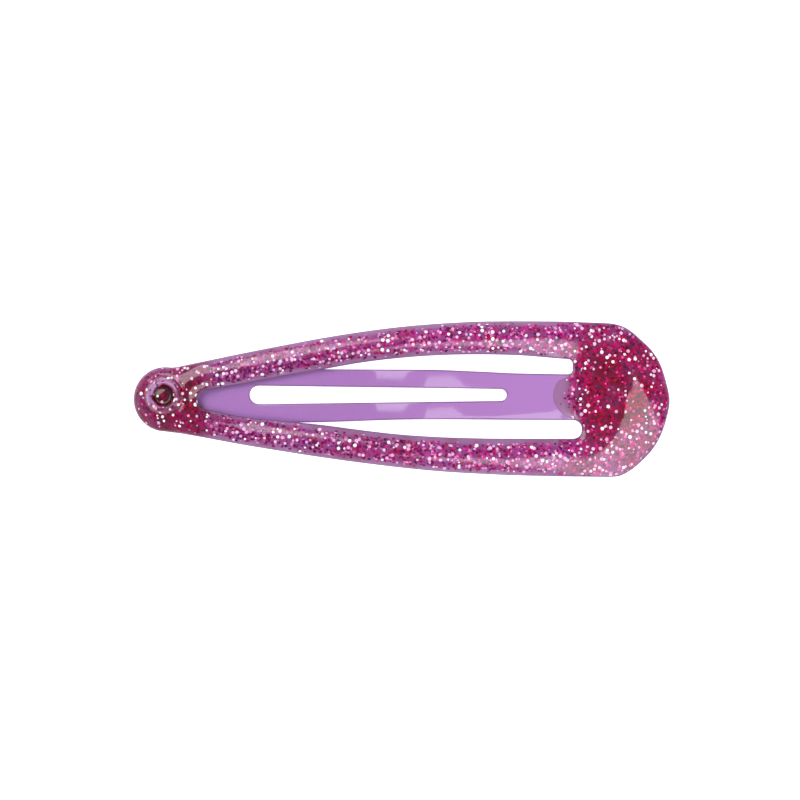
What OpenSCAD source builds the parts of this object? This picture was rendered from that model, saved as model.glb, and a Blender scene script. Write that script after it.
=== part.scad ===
/* [Clip] */
// Overall length, from the riveted tip to the wide end
clip_length = 50; // [42:1:62]
// Overall width, across the legs where they spread most
clip_width = 14.5; // [13:0.5:20]
// Height of the arch's underside over the surface that both ends rest on
arch_rise = 3; // [2.5:0.1:5]
// Thickness of the spring steel sheet
sheet_t = 0.45; // [0.3:0.05:0.6]

/* [Legs] */
// Width of one side leg
leg_w = 3; // [2.2:0.1:3.4]
// Radius of the round tip, where the tabs of the two legs lie one on the other
tip_r = 3; // [2.6:0.1:3.6]
// Width of the solid band at the wide end, from the longer gap to the outer edge
band_w = 8.25; // [7:0.25:10]
// How much shorter the upper gap is than the lower one
gap_stagger = 0.85; // [0:0.05:1.5]
// Length over which the wide end rounds off
end_round = 5.6; // [4:0.1:7]
// Corner radius of the upper gap's end
upper_corner_r = 0.45; // [0.2:0.05:0.7]
// Corner radius of the lower gap's end
lower_corner_r = 0.8; // [0.2:0.05:0.9]

/* [Tongue] */
// Width of the centre tongue, at its crease
tongue_w = 4.6; // [3.8:0.1:5.2]
// Sideways place of the tongue's centre line
tongue_y = 0.4; // [0:0.1:0.6]
// Length of the pressed crease that lowers the tongue under the legs
crease_length = 4.4; // [2:0.1:6]
// Place of the crease's middle, from the middle of the clip
crease_x = -0.2; // [-2:0.1:2]
// Length of the tongue's slot
slot_length = 23.9; // [15:0.1:25]
// Distance from the wide end's band to the slot
slot_root = 7; // [5:0.5:9]
// Width of the slot at its end near the tip
slot_tip_w = 1.7; // [0.8:0.1:2.2]
// Width of the slot at its end near the wide end
slot_root_w = 1.1; // [0.8:0.1:2.2]

/* [Eyelet] */
// Radius of the eyelet's hole
eyelet_hole_r = 0.75; // [0.5:0.05:0.95]
// Wall of the eyelet's tube
eyelet_wall = 0.25; // [0.15:0.05:0.35]
// Radius of the rolled flanges that clinch the two tabs
flange_r = 1.55; // [1.4:0.05:1.8]
// Thickness of a rolled flange
flange_t = 0.22; // [0.15:0.01:0.3]
// Place of the eyelet from the centre of the round tip, along the clip
eyelet_dx = -0.28; // [-0.4:0.02:0.4]
// Place of the eyelet from the centre of the round tip, across the clip
eyelet_dy = 0.33; // [-0.4:0.01:0.4]

/* [Resin] */
// Height of the domed resin over the sheet
resin_h = 0.6; // [0.4:0.05:0.8]
// Height of the resin right at its edge
resin_edge_h = 0.16; // [0.1:0.02:0.3]
// Width of the resin's rounded shoulder
resin_shoulder = 0.6; // [0.3:0.05:0.8]
// How far the resin stands back from the sheet's edge
resin_lip = 0.08; // [0.04:0.01:0.15]
// How far the resin runs down the tongue, from the end of the upper gap
resin_reach = 1.85; // [0.8:0.05:2.4]
// How far the resin ring stands up over the eyelet
ring_rise = 0.14; // [0.08:0.01:0.25]

/* [Hinge line] */
// Distance from the wide end's band to the line about which the legs bend open
hinge_back = 2.3; // [1.8:0.1:3.5]
// Radius of the round joint in the sheet, between the legs and the wide end
hinge_r = 0.6; // [0.5:0.05:0.9]
// How far the legs bend open, in degrees
open_angle = 22; // [15:1:26]

/* [Clearances] */
// Gap between the tongue and the underside of the legs
tongue_gap = 0.15; // [0.1:0.05:0.4]
// Gap between pieces that are fixed to each other
piece_gap = 0.05; // [0.03:0.01:0.08]
// Gap in the round joint
hinge_gap = 0.05; // [0.03:0.01:0.1]

/* [Hidden] */
paint_colour = "#A874B8";
resin_colour = "#A23C72";
eyelet_colour = "#B47AB8";

// Edges of the frame: place as a share from the tip to where the wide end rounds off; how far the
// upper and the lower edge have spread from the tip's radius to half the width; the upper and the
// lower leg's width as shares of leg_w.
leg_rows = [
    [0.086, -0.013, 0.020, 0.90, 0.90],
    [0.157, 0.141, 0.148, 0.91, 0.90],
    [0.224, 0.286, 0.277, 0.95, 0.86],
    [0.308, 0.457, 0.420, 0.95, 0.93],
    [0.392, 0.620, 0.556, 0.97, 1.00],
    [0.476, 0.761, 0.677, 0.95, 1.01],
    [0.560, 0.873, 0.783, 0.96, 1.02],
    [0.643, 0.947, 0.868, 0.98, 1.06],
    [0.727, 0.991, 0.923, 1.02, 1.10],
    [0.811, 1.000, 0.961, 1.06, 1.14],
    [0.895, 0.996, 0.983, 1.15, 1.17],
    [1.000, 0.963, 1.000, 1.20, 1.20]
];
// The wide end's rounded edge: place along end_round, place across as a share of half the width.
end_rows = [
    [0.000, -1.000], [0.165, -0.985], [0.331, -0.920], [0.496, -0.820], [0.694, -0.663],
    [0.843, -0.477], [0.942, -0.264], [1.000, -0.020], [0.942, 0.219], [0.843, 0.453],
    [0.694, 0.633], [0.496, 0.781], [0.331, 0.887], [0.165, 0.952], [0.000, 0.976]
];
// The tongue: place as in leg_rows; its upper and its lower edge as shares of half tongue_w.
tongue_rows = [
    [0.16, 0.98, 1.05],
    [0.30, 1.04, 1.12],
    [0.40, 1.04, 1.10],
    [0.56, 1.02, 1.00],
    [0.64, 1.01, 0.99],
    [0.73, 0.94, 1.00],
    [0.81, 0.87, 1.01],
    [1.00, 0.82, 1.02]
];
// The resin's edge across the tongue: place from the upper to the lower edge, share of resin_reach.
bow_rows = [[0.06, 0.38], [0.20, 0.80], [0.40, 1.00], [0.60, 0.93], [0.80, 0.62], [0.96, 0.12]];
// The resin's rounded shoulder: place across resin_shoulder, share of the rise to its full height.
shoulder_rows = [[0, 0], [0.10, 0.38], [0.35, 0.74], [1, 1]];

// Where each leg's outer edge leaves the round tip: angle round it, and place as a share of its radius.
upper_neck = [80, 0.30];
lower_neck = [262, 0.47];
// Angles: how far a tab runs past the legs' fork, how far the fork and the tongue's end curve round.
tab_turn = 8;
fork_turn = 80;
tongue_turn = 84;
// Lengths along the clip: stub before the round joint, straight run before that, the tab's step and
// how far it ends past the fork, the tongue's end past the eyelet, and where a gap's edge runs out.
stub_run = 0.3;
flat_run = 0.1;
step_length = 2.6;
step_past_fork = 0.9;
tongue_past_eyelet = 0.5;
corner_run = 0.2;
// How much sooner the resin rises over the tab's step than the steel does, its room for facets, and
// how many degrees past half the opening its two ends at the hinge line lean back.
coat_lead = 0.5;
facet_room = 0.03;
cut_lean = 1;
// Radius of the ring bead before its rise, narrowest flat between the resin's shoulders.
bead_r = 0.2;
shoulder_flat = 0.1;
// Largest share of a gap that one corner takes.
corner_share = 0.49;
// How far cutting bodies run past the part, length of a kink, and counts of steps.
past = 1;
kink = 0.01;
round_steps = 3;
bend_steps = 4;
fork_steps = 6;
arc_steps = 12;
turn_steps = 20;
tab_steps = 28;
end_steps = 56;
leg_step = 1.1;
smooth = 48;
bead_smooth = 24;

half_w = clip_width / 2;
tip_x = -clip_length / 2;
wide_x = clip_length / 2;
round_x = wide_x - end_round;
disc_x = tip_x + tip_r;
upper_neck_x = disc_x + upper_neck[1] * tip_r;
lower_neck_x = disc_x + lower_neck[1] * tip_r;
vertex_x = tip_x + leg_rows[1][0] * (round_x - tip_x);
upper_gap_x = wide_x - band_w - gap_stagger;
lower_gap_x = wide_x - band_w;
hinge_x = lower_gap_x - hinge_back;
stub_x = hinge_x - hinge_r - stub_run;
flat_x = stub_x - flat_run;

// The arch is a parabola up to flat_x and runs on straight, so that both ends rest at the same height.
apex_x = -pow(wide_x - flat_x, 2) / (2 * clip_length);
arch_reach = apex_x - tip_x;
arch_steep = arch_rise / pow(arch_reach, 2);
step_h = sheet_t + piece_gap;
step_end_x = vertex_x - step_past_fork;
tongue_drop = sheet_t + tongue_gap;
crease_low = crease_x - crease_length / 2;
crease_high = crease_x + crease_length / 2;
eyelet_x = disc_x + eyelet_dx;
eyelet_r = eyelet_hole_r + eyelet_wall;
tongue_tip_x = eyelet_x + flange_r + tongue_past_eyelet;
tip_tilt = atan(arch_slope(disc_x));
tab_top = (2 * sheet_t + piece_gap) * cos(tip_tilt);
coat_seat = tab_top + piece_gap + facet_room;
tall = arch_rise + tip_r + resin_h + 2 * past;
resin_cut = tan(open_angle / 2 + cut_lean);
hinge_z = sheet_z(hinge_x) + sheet_t / 2;

function spread(a, b, n) = [for (i = [0:n]) a + (b - a) * i / n];
function steps_for(a, b) = ceil(abs(b - a) / leg_step);
function arch_slope(x) = -2 * arch_steep * (min(x, flat_x) - apex_x);
function sheet_z(x) =
    let (u = min(x, flat_x) - apex_x)
    arch_rise - arch_steep * u * u + arch_slope(flat_x) * max(x - flat_x, 0);
function step_share(x) = min(max((step_end_x + step_length - x) / step_length, 0), 1);
function crease_share(x) = min(max((crease_high - x) / crease_length, 0), 1);

// A smooth curve through one column of a table, read at place p.
function row_at(rows, p, i = 0) = i >= len(rows) - 2 || p < rows[i + 1][0] ? i : row_at(rows, p, i + 1);
function row_slope(rows, col, i) =
    let (a = max(i - 1, 0), b = min(i + 1, len(rows) - 1))
    (rows[b][col] - rows[a][col]) / (rows[b][0] - rows[a][0]);
function read_rows(rows, col, p) =
    let (i = row_at(rows, p), span = rows[i + 1][0] - rows[i][0], s = (p - rows[i][0]) / span)
    rows[i][col] * (2 * pow(s, 3) - 3 * s * s + 1)
    + row_slope(rows, col, i) * span * (pow(s, 3) - 2 * s * s + s)
    + rows[i + 1][col] * (3 * s * s - 2 * pow(s, 3))
    + row_slope(rows, col, i + 1) * span * (pow(s, 3) - s * s);

// A smooth open curve through points in the plane, with n steps from each point to the next.
function curve_through(points, n) = concat(
    [for (i = [0:len(points) - 2], j = [0:n - 1])
        let (a = points[max(i - 1, 0)], b = points[i], c = points[i + 1],
             d = points[min(i + 2, len(points) - 1)], s = j / n)
        b + (c - a) * s / 2 + (2 * a - 5 * b + 4 * c - d) * s * s / 2
        + (3 * b - a - 3 * c + d) * pow(s, 3) / 2],
    [points[len(points) - 1]]);
function backwards(list) = [for (i = [len(list) - 1:-1:0]) list[i]];
function arc(cx, cy, rx, ry, from, to, n) =
    [for (i = [0:n]) let (a = from + (to - from) * i / n) [cx + rx * cos(a), cy + ry * sin(a)]];

function place_of(x) = (x - tip_x) / (round_x - tip_x);
function upper_y(x) = tip_r + (half_w - tip_r) * read_rows(leg_rows, 1, place_of(x));
function lower_y(x) = -tip_r - (half_w - tip_r) * read_rows(leg_rows, 2, place_of(x));
function upper_in(x) = upper_y(x) - leg_w * read_rows(leg_rows, 3, place_of(x));
function lower_in(x) = lower_y(x) + leg_w * read_rows(leg_rows, 4, place_of(x));
function tongue_up(x) = tongue_y + tongue_w / 2 * read_rows(tongue_rows, 1, place_of(x));
function tongue_low(x) = tongue_y - tongue_w / 2 * read_rows(tongue_rows, 2, place_of(x));

// Runs of the outline, each from left to right.
function upper_run(a, b) = [for (x = spread(a, b, steps_for(a, b))) [x, upper_y(x)]];
function lower_run(a, b) = [for (x = spread(a, b, steps_for(a, b))) [x, lower_y(x)]];
function upper_in_run(a, b) = [for (x = spread(a, b, steps_for(a, b))) [x, upper_in(x)]];
function lower_in_run(a, b) = [for (x = spread(a, b, steps_for(a, b))) [x, lower_in(x)]];

// The wide end's outer edge, from the lower leg's root at x round to the upper one's.
function wide_edge(x) = concat(
    lower_run(x, round_x - leg_step / 2),
    curve_through([for (r = end_rows) [round_x + r[0] * end_round, r[1] * half_w]], round_steps),
    backwards(upper_run(x, round_x - leg_step / 2)));

// A gap's rounded end, from the leg's inner edge to the tongue's edge.
function gap_end(x, y_leg, y_tongue, corner) =
    let (side = sign(y_leg - y_tongue), r = min(corner, abs(y_leg - y_tongue) * corner_share))
    concat(
        arc(x - r, y_leg - side * r, r, r, side * 90, 0, bend_steps),
        arc(x - r, y_tongue + side * r, r, r, 0, -side * 90, bend_steps));
function upper_gap_end() = let (x = upper_gap_x - upper_corner_r)
    gap_end(upper_gap_x, upper_in(x), tongue_up(x), upper_corner_r);
function lower_gap_end() = let (x = lower_gap_x - lower_corner_r)
    gap_end(lower_gap_x, lower_in(x), tongue_low(x), lower_corner_r);

function base_outline() =
    let (a = tip_x + tongue_rows[0][0] * (round_x - tip_x),
         upper_b = upper_gap_x - upper_corner_r - corner_run,
         lower_b = lower_gap_x - lower_corner_r - corner_run)
    concat(
        wide_edge(stub_x),
        upper_in_run(stub_x, upper_b),
        upper_gap_end(),
        [for (x = spread(upper_b, a, steps_for(a, upper_b))) [x, tongue_up(x)]],
        arc(a - kink, (tongue_up(a) + tongue_low(a)) / 2, a - tongue_tip_x,
            (tongue_up(a) - tongue_low(a)) / 2, 180 - tongue_turn, 180 + tongue_turn, arc_steps),
        [for (x = spread(a, lower_b, steps_for(a, lower_b))) [x, tongue_low(x)]],
        backwards(lower_gap_end()),
        backwards(lower_in_run(stub_x, lower_b)));

function slot_outline() =
    let (right = lower_gap_x - slot_root, left = right - slot_length, a = slot_tip_w / 2, b = slot_root_w / 2)
    concat(
        arc(left + a, tongue_y, a, a, 90, 270, arc_steps),
        arc(right - b, tongue_y, b, b, -90, 90, arc_steps));

function resin_bow() = curve_through(
    [for (r = bow_rows)
        let (x = upper_gap_x - r[1] * resin_reach)
        [x, tongue_up(x) + r[0] * (tongue_low(x) - tongue_up(x))]], round_steps);

// The other edge of the end resin: round both gaps' ends and across the tongue's root.
function gap_edge(x) = concat(
    upper_in_run(x, upper_gap_x - upper_corner_r - corner_run),
    upper_gap_end(),
    resin_bow(),
    backwards(lower_gap_end()),
    backwards(lower_in_run(x, lower_gap_x - lower_corner_r - corner_run)));

// The legs' outer edge round the tip, and the inner edge round the vertex of the gap, as paired stations.
vertex_y = (upper_in(vertex_x) + lower_in(vertex_x)) / 2;
vertex_r = (upper_in(vertex_x) - lower_in(vertex_x)) / 2;
function tip_outer() = concat(
    backwards(upper_run(upper_neck_x, vertex_x)),
    arc(disc_x, 0, tip_r, tip_r, upper_neck[0], lower_neck[0], turn_steps),
    lower_run(lower_neck_x, vertex_x));
function tip_inner(n) = arc(vertex_x, vertex_y, vertex_r, vertex_r, 90, 270, n);

// Stations of the leg resin: outer point, inner point, and how far its seat is raised on the upper tab.
function coat_stations() =
    let (end_x = hinge_x, n = steps_for(vertex_x, end_x),
         xs = spread(end_x, vertex_x, n), outer = tip_outer(), inner = tip_inner(len(outer) - 1))
    concat(
        [for (i = [0:n - 1]) [[xs[i], upper_y(xs[i])], [xs[i], upper_in(xs[i])], 1]],
        [for (i = [0:len(outer) - 1]) [outer[i], inner[i], i < len(outer) / 2 ? 1 : 0]],
        [for (i = [n - 1:-1:0]) [[xs[i], lower_y(xs[i])], [xs[i], lower_in(xs[i])], 0]]);

function coat_point(p, raised, h) = [
    p[0], p[1], sheet_z(p[0]) + sheet_t + piece_gap + raised * step_h * step_share(p[0] - coat_lead) + h];

// A point of the resin's end at the hinge line, in a plane that leans back by half the opening.
function cut_point(p, side) =
    let (x = hinge_x + side * (hinge_gap + (p[2] - hinge_z) * resin_cut))
    [x, p[1], p[2] + arch_slope(hinge_x) * (x - p[0])];

// One section of the leg resin: up its outer shoulder, across, down its inner one, back underneath.
function coat_section(station) =
    let (outer = station[0], inner = station[1], w = norm(inner - outer), way = (inner - outer) / w,
         rim = min(resin_shoulder, w / 2 - resin_lip - shoulder_flat),
         rise = resin_h - resin_edge_h)
    concat(
        [coat_point(outer + way * resin_lip, station[2], 0)],
        [for (r = shoulder_rows)
            coat_point(outer + way * (resin_lip + r[0] * rim), 1, resin_edge_h + r[1] * rise)],
        [for (r = backwards(shoulder_rows))
            coat_point(inner - way * (resin_lip + r[0] * rim), 1, resin_edge_h + r[1] * rise)],
        [coat_point(inner - way * resin_lip, station[2], 0)]);

// A closed body through sections of equal length. Its two ends are closed by strips between the first
// and the second half of the section's points.
module skin(sections) {
    n = len(sections[0]);
    m = len(sections);
    z = (m - 1) * n;
    polyhedron(
        points = [for (s = sections, p = s) p],
        faces = concat(
            [for (i = [0:m - 2], j = [0:n - 1])
                let (k = (j + 1) % n, a = i * n, b = (i + 1) * n)
                for (f = [[a + j, b + j, b + k], [a + j, b + k, a + k]]) f],
            [for (j = [0:n / 2 - 2], f = [[j, j + 1, n - 2 - j], [j, n - 2 - j, n - 1 - j]]) f],
            [for (j = [0:n / 2 - 2], f = [[n - 2 - j, j + 1, j], [n - 1 - j, n - 2 - j, j]]) f + [z, z, z]]));
}

// A run of an outline moved sideways, point by point, to the left of its own way.
function inset(points, e) = [for (i = [0:len(points) - 1])
    let (d = points[min(i + 1, len(points) - 1)] - points[max(i - 1, 0)])
    points[i] + [-d[1], d[0]] / norm(d) * e];

function strip_profile(lift, xs) = concat(
    [for (x = xs) [x, sheet_z(x) + lift(x)]],
    [for (x = backwards(xs)) [x, sheet_z(x) + lift(x) + sheet_t]]);

module side_prism(points) rotate([90, 0, 0]) linear_extrude(2 * clip_width, center = true) polygon(points);
module plan_prism(points) translate([0, 0, -past]) linear_extrude(tall) polygon(points);
module on_tip(dx, dy) translate([disc_x, 0, sheet_z(disc_x)]) rotate([0, -tip_tilt, 0]) translate([dx, dy, 0])
    children();
module hinge_rod(r) translate([hinge_x, 0, hinge_z]) rotate([90, 0, 0])
    cylinder(r = r, h = 2 * clip_width, center = true, $fn = 2 * smooth);
module rivet_hole() on_tip(eyelet_dx, eyelet_dy) translate([0, 0, -past])
    cylinder(r = eyelet_r + piece_gap, h = tab_top + 2 * past, $fn = smooth);

// The room that the legs take beside the tongue, with a round front.
module leg_room() difference() {
    for (y = [[(upper_in(hinge_x) + tongue_up(hinge_x)) / 2, clip_width],
              [-clip_width, (lower_in(hinge_x) + tongue_low(hinge_x)) / 2]])
        translate([stub_x - past, y[0], -past]) cube([hinge_x - stub_x + past, y[1] - y[0], tall]);
    hinge_rod(hinge_r);
}

module tongue_plate() color(paint_colour) difference() {
    intersection() {
        plan_prism(base_outline());
        side_prism(strip_profile(function(x) -tongue_drop * crease_share(x), concat(
            spread(tip_x, crease_low, steps_for(tip_x, crease_low)),
            spread(crease_low + kink, crease_high - kink, bend_steps),
            spread(crease_high, flat_x, steps_for(crease_high, flat_x)), [wide_x + past])));
    }
    plan_prism(slot_outline());
    leg_room();
}

// One leg with its round tab, from its plan outline and the lift of its tab.
module leg(outline, lift) color(paint_colour) difference() {
    intersection() {
        plan_prism(outline);
        side_prism(strip_profile(function(x) lift * step_share(x), concat(
            spread(tip_x - past, step_end_x, fork_steps),
            spread(step_end_x + kink, step_end_x + step_length - kink, bend_steps),
            spread(step_end_x + step_length, flat_x, steps_for(step_end_x, flat_x)), [wide_x])));
    }
    rivet_hole();
    hinge_rod(hinge_r + hinge_gap);
}

module upper_leg() leg(concat(
    backwards(upper_run(upper_neck_x, hinge_x - hinge_r / 2)),
    arc(disc_x, 0, tip_r, tip_r, upper_neck[0], 360 - tab_turn, tab_steps),
    arc(vertex_x, vertex_y, vertex_r, vertex_r, 180, 180 - fork_turn, fork_steps),
    upper_in_run(vertex_x, hinge_x - hinge_r / 2)), step_h);

module lower_leg() leg(concat(
    lower_run(lower_neck_x, hinge_x - hinge_r / 2),
    backwards(lower_in_run(vertex_x, hinge_x - hinge_r / 2)),
    arc(vertex_x, vertex_y, vertex_r, vertex_r, 180 + fork_turn, 180, fork_steps),
    arc(disc_x, 0, tip_r, tip_r, tab_turn, lower_neck[0], tab_steps)), 0);

module eyelet() color(eyelet_colour) on_tip(eyelet_dx, eyelet_dy) rotate_extrude($fn = smooth) {
    low = -piece_gap - flange_t;
    high = tab_top + piece_gap;
    translate([eyelet_hole_r, low]) square([eyelet_wall, high + flange_t - low]);
    for (z = [low, high]) {
        translate([eyelet_hole_r, z]) square([flange_r - flange_t / 2 - eyelet_hole_r, flange_t]);
        translate([flange_r - flange_t / 2, z + flange_t / 2]) circle(r = flange_t / 2, $fn = bead_smooth);
    }
}

// A run of an outline again, as n equal steps.
function even_run(points, n) =
    let (rows = [for (i = 0, s = 0; i < len(points);
             s = s + (i + 1 < len(points) ? norm(points[i + 1] - points[i]) : 0), i = i + 1)
             [s, points[i][0], points[i][1]]])
    [for (s = spread(0, rows[len(rows) - 1][0], n))
        let (i = row_at(rows, s), a = rows[i], b = rows[i + 1], t = (s - a[0]) / (b[0] - a[0]))
        [a[1] + (b[1] - a[1]) * t, a[2] + (b[2] - a[2]) * t]];

// One ring of the end resin, at an inset from its edges and a height over its seat.
function end_ring(e, h) = [for (run = [wide_edge(hinge_x), gap_edge(hinge_x)])
    let (points = inset(even_run(run, end_steps), resin_lip + e))
    for (i = [0:end_steps]) let (p = coat_point(points[i], 0, h)) i % end_steps == 0 ? cut_point(p, 1) : p];

module end_coat() color(resin_colour) skin(concat(
    [end_ring(0, 0)],
    [for (r = shoulder_rows)
        end_ring(r[0] * resin_shoulder, resin_edge_h + r[1] * (resin_h - resin_edge_h))]));

module leg_coat() color(resin_colour) {
    stations = backwards(coat_stations());
    last = len(stations) - 1;
    difference() {
        union() {
            skin([for (i = [0:last])
                [for (p = coat_section(stations[i])) i % last == 0 ? cut_point(p, -1) : p]]);
            on_tip(eyelet_dx, eyelet_dy) translate([0, 0, coat_seat + resin_h - bead_r])
                rotate_extrude($fn = smooth) translate([(eyelet_hole_r + flange_r) / 2, 0])
                    circle(r = bead_r + ring_rise, $fn = bead_smooth);
        }
        intersection() {
            translate([disc_x, 0, -past]) cylinder(r = tip_r + piece_gap, h = tall, $fn = 2 * smooth);
            on_tip(0, 0) translate([0, 0, -past]) cylinder(r = 2 * tip_r, h = coat_seat + past, $fn = smooth);
        }
        on_tip(eyelet_dx, eyelet_dy) translate([0, 0, -past])
            cylinder(r = flange_r + piece_gap, h = tab_top + 2 * piece_gap + flange_t + past, $fn = smooth);
    }
    on_tip(eyelet_dx, eyelet_dy) translate([0, 0, -piece_gap - flange_t])
        cylinder(r = eyelet_hole_r - piece_gap, h = tab_top + 2 * flange_t + 5 * piece_gap, $fn = smooth);
}

tongue_plate();
upper_leg();
lower_leg();
eyelet();
end_coat();
leg_coat();
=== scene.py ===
import math

import bpy
import numpy as np
from mathutils import Matrix, Vector
from mathutils.geometry import delaunay_2d_cdt


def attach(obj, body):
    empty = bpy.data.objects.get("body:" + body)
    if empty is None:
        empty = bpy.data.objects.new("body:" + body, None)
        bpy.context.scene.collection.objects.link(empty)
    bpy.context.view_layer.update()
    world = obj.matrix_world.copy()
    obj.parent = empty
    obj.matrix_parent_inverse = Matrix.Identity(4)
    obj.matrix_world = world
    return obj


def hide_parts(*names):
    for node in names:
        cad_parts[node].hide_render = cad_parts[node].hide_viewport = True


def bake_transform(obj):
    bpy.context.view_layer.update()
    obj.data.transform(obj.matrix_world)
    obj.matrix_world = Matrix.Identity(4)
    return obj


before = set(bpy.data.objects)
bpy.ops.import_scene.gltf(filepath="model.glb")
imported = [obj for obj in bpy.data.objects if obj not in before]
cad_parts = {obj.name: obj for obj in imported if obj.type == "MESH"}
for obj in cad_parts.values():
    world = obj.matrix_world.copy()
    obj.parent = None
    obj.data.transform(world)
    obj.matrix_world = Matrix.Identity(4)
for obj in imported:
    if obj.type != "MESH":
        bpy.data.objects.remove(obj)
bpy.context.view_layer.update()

# Lengths are in millimetres until a mesh is made.
# +X runs to the wide end, +Y across the clip, +Z out of the resin face.
mm = 0.001

# The clip as a whole: its outline, its arch and the two tabs at the tip.
clip = {
    "tipX": -25.0,
    "wideX": 25.0,
    "halfWidth": 7.249,
    "rise": 3.0,
    "straightFrom": 13.45,  # here the arch runs out straight
    "sheet": 0.45,  # thickness of the steel
    "edgeRound": 0.13,
    "tipRadius": 3.0,
    "legWidth": 3.0,
    "endRound": 5.6,  # length of the wide end's round part
    "upperGap": 15.9,  # right ends of the gaps beside the tongue
    "lowerGap": 16.75,
    "upperCorner": 0.45,
    "lowerCorner": 0.8,
    "forkPlace": 0.157,
    "forkTurn": 80,
    "tabTurn": 8,
    "upperNeck": (80, 0.30),  # leg meets the tip's circle: degrees, share of its radius
    "lowerNeck": (262, 0.47),
    "stepLength": 2.6,  # over it the upper tab rises on to the lower one
    "stepPastFork": 0.9,
    "pieceGap": 0.05,
}

# Place from the tip to where the wide end rounds off; spread of the upper and of the lower
# edge; widths of the upper and of the lower leg.
legRows = [
    (0.086, -0.013, 0.020, 0.90, 0.90),
    (0.157, 0.141, 0.148, 0.91, 0.90),
    (0.224, 0.286, 0.277, 0.95, 0.86),
    (0.308, 0.457, 0.420, 0.95, 0.93),
    (0.392, 0.620, 0.556, 0.97, 1.00),
    (0.476, 0.761, 0.677, 0.95, 1.01),
    (0.560, 0.873, 0.783, 0.96, 1.02),
    (0.643, 0.947, 0.868, 0.98, 1.06),
    (0.727, 0.991, 0.923, 1.02, 1.10),
    (0.811, 1.000, 0.961, 1.06, 1.14),
    (0.895, 0.996, 0.983, 1.15, 1.17),
    (1.000, 0.963, 1.000, 1.20, 1.20),
]
# The wide end's round edge: share of its length, share of half the width.
endRows = [
    (0.000, -1.000), (0.165, -0.985), (0.331, -0.920), (0.496, -0.820), (0.694, -0.663),
    (0.843, -0.477), (0.942, -0.264), (1.000, -0.020), (0.942, 0.219), (0.843, 0.453),
    (0.694, 0.633), (0.496, 0.781), (0.331, 0.887), (0.165, 0.952), (0.000, 0.976),
]

roundX = clip["wideX"] - clip["endRound"]
discX = clip["tipX"] + clip["tipRadius"]
apexX = -(clip["wideX"] - clip["straightFrom"]) ** 2 / (2 * (clip["wideX"] - clip["tipX"]))
archSteep = clip["rise"] / (apexX - clip["tipX"]) ** 2
forkX = clip["tipX"] + clip["forkPlace"] * (roundX - clip["tipX"])
stepEndX = forkX - clip["stepPastFork"]


def smoothShare(low, high, value):
    t = np.clip((np.asarray(value, float) - low) / (high - low), 0, 1)
    return t * t * (3 - 2 * t)


# One column of a table as a smooth curve, read at each place.
def readRows(rows, column, places):
    table = np.array(rows, float)
    knots, values = table[:, 0], table[:, column]
    last = len(knots) - 1
    before = np.maximum(np.arange(last + 1) - 1, 0)
    after = np.minimum(np.arange(last + 1) + 1, last)
    slopes = (values[after] - values[before]) / (knots[after] - knots[before])
    i = np.clip(np.searchsorted(knots, places, side="right") - 1, 0, last - 1)
    span = knots[i + 1] - knots[i]
    s = (places - knots[i]) / span
    return (
        values[i] * (2 * s**3 - 3 * s**2 + 1)
        + slopes[i] * span * (s**3 - 2 * s**2 + s)
        + values[i + 1] * (3 * s**2 - 2 * s**3)
        + slopes[i + 1] * span * (s**3 - s**2)
    )


def placeOf(x):
    return (np.asarray(x, float) - clip["tipX"]) / (roundX - clip["tipX"])


def upperEdge(x):
    spread = clip["halfWidth"] - clip["tipRadius"]
    return clip["tipRadius"] + spread * readRows(legRows, 1, placeOf(x))


def lowerEdge(x):
    spread = clip["halfWidth"] - clip["tipRadius"]
    return -clip["tipRadius"] - spread * readRows(legRows, 2, placeOf(x))


def upperInner(x):
    return upperEdge(x) - clip["legWidth"] * readRows(legRows, 3, placeOf(x))


def lowerInner(x):
    return lowerEdge(x) + clip["legWidth"] * readRows(legRows, 4, placeOf(x))


# Height of the sheet's underside: a parabola, then straight down to the wide end's edge.
def archZ(x):
    x = np.asarray(x, float)
    u = np.minimum(x, clip["straightFrom"]) - apexX
    past = np.maximum(x - clip["straightFrom"], 0)
    slope = 2 * archSteep * (clip["straightFrom"] - apexX)
    return clip["rise"] - archSteep * u**2 - slope * past


# How far the upper tab has stepped up on to the lower one.
def stepShare(x):
    return smoothShare(stepEndX + clip["stepLength"], stepEndX, x)


# A smooth open curve through points.
def curveThrough(points, steps):
    points = np.array(points, float)
    out = []
    for i in range(len(points) - 1):
        a, b = points[max(i - 1, 0)], points[i]
        c, d = points[i + 1], points[min(i + 2, len(points) - 1)]
        turn, twist = 2 * a - 5 * b + 4 * c - d, 3 * b - a - 3 * c + d
        for j in range(steps):
            s = j / steps
            out.append(b + (c - a) * s / 2 + turn * s**2 / 2 + twist * s**3 / 2)
    out.append(points[-1])
    return np.array(out)


def arc(cx, cy, rx, ry, start, stop, steps):
    turn = np.radians(np.linspace(start, stop, steps + 1))
    return np.stack([cx + rx * np.cos(turn), cy + ry * np.sin(turn)], axis=1)


def tipArc(start, stop, steps):
    return arc(discX, 0, clip["tipRadius"], clip["tipRadius"], start, stop, steps)


def edgeRun(edge, start, stop):
    step = 0.4
    x = np.linspace(start, stop, max(2, int(abs(stop - start) / step) + 1))
    return np.stack([x, edge(x)], axis=1)


# The same line again in equal steps.
def evenRun(points, step, closed=False):
    points = np.array(points, float)
    if closed:
        points = np.vstack([points, points[:1]])
    lengths = np.linalg.norm(np.diff(points, axis=0), axis=1)
    points = points[np.r_[True, lengths > 1e-6]]
    along = np.r_[0, np.cumsum(np.linalg.norm(np.diff(points, axis=0), axis=1))]
    count = max(3, int(round(along[-1] / step)))
    places = np.linspace(0, along[-1], count + 1)
    out = np.stack([np.interp(places, along, points[:, k]) for k in (0, 1)], axis=1)
    return out[:-1] if closed else out


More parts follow.
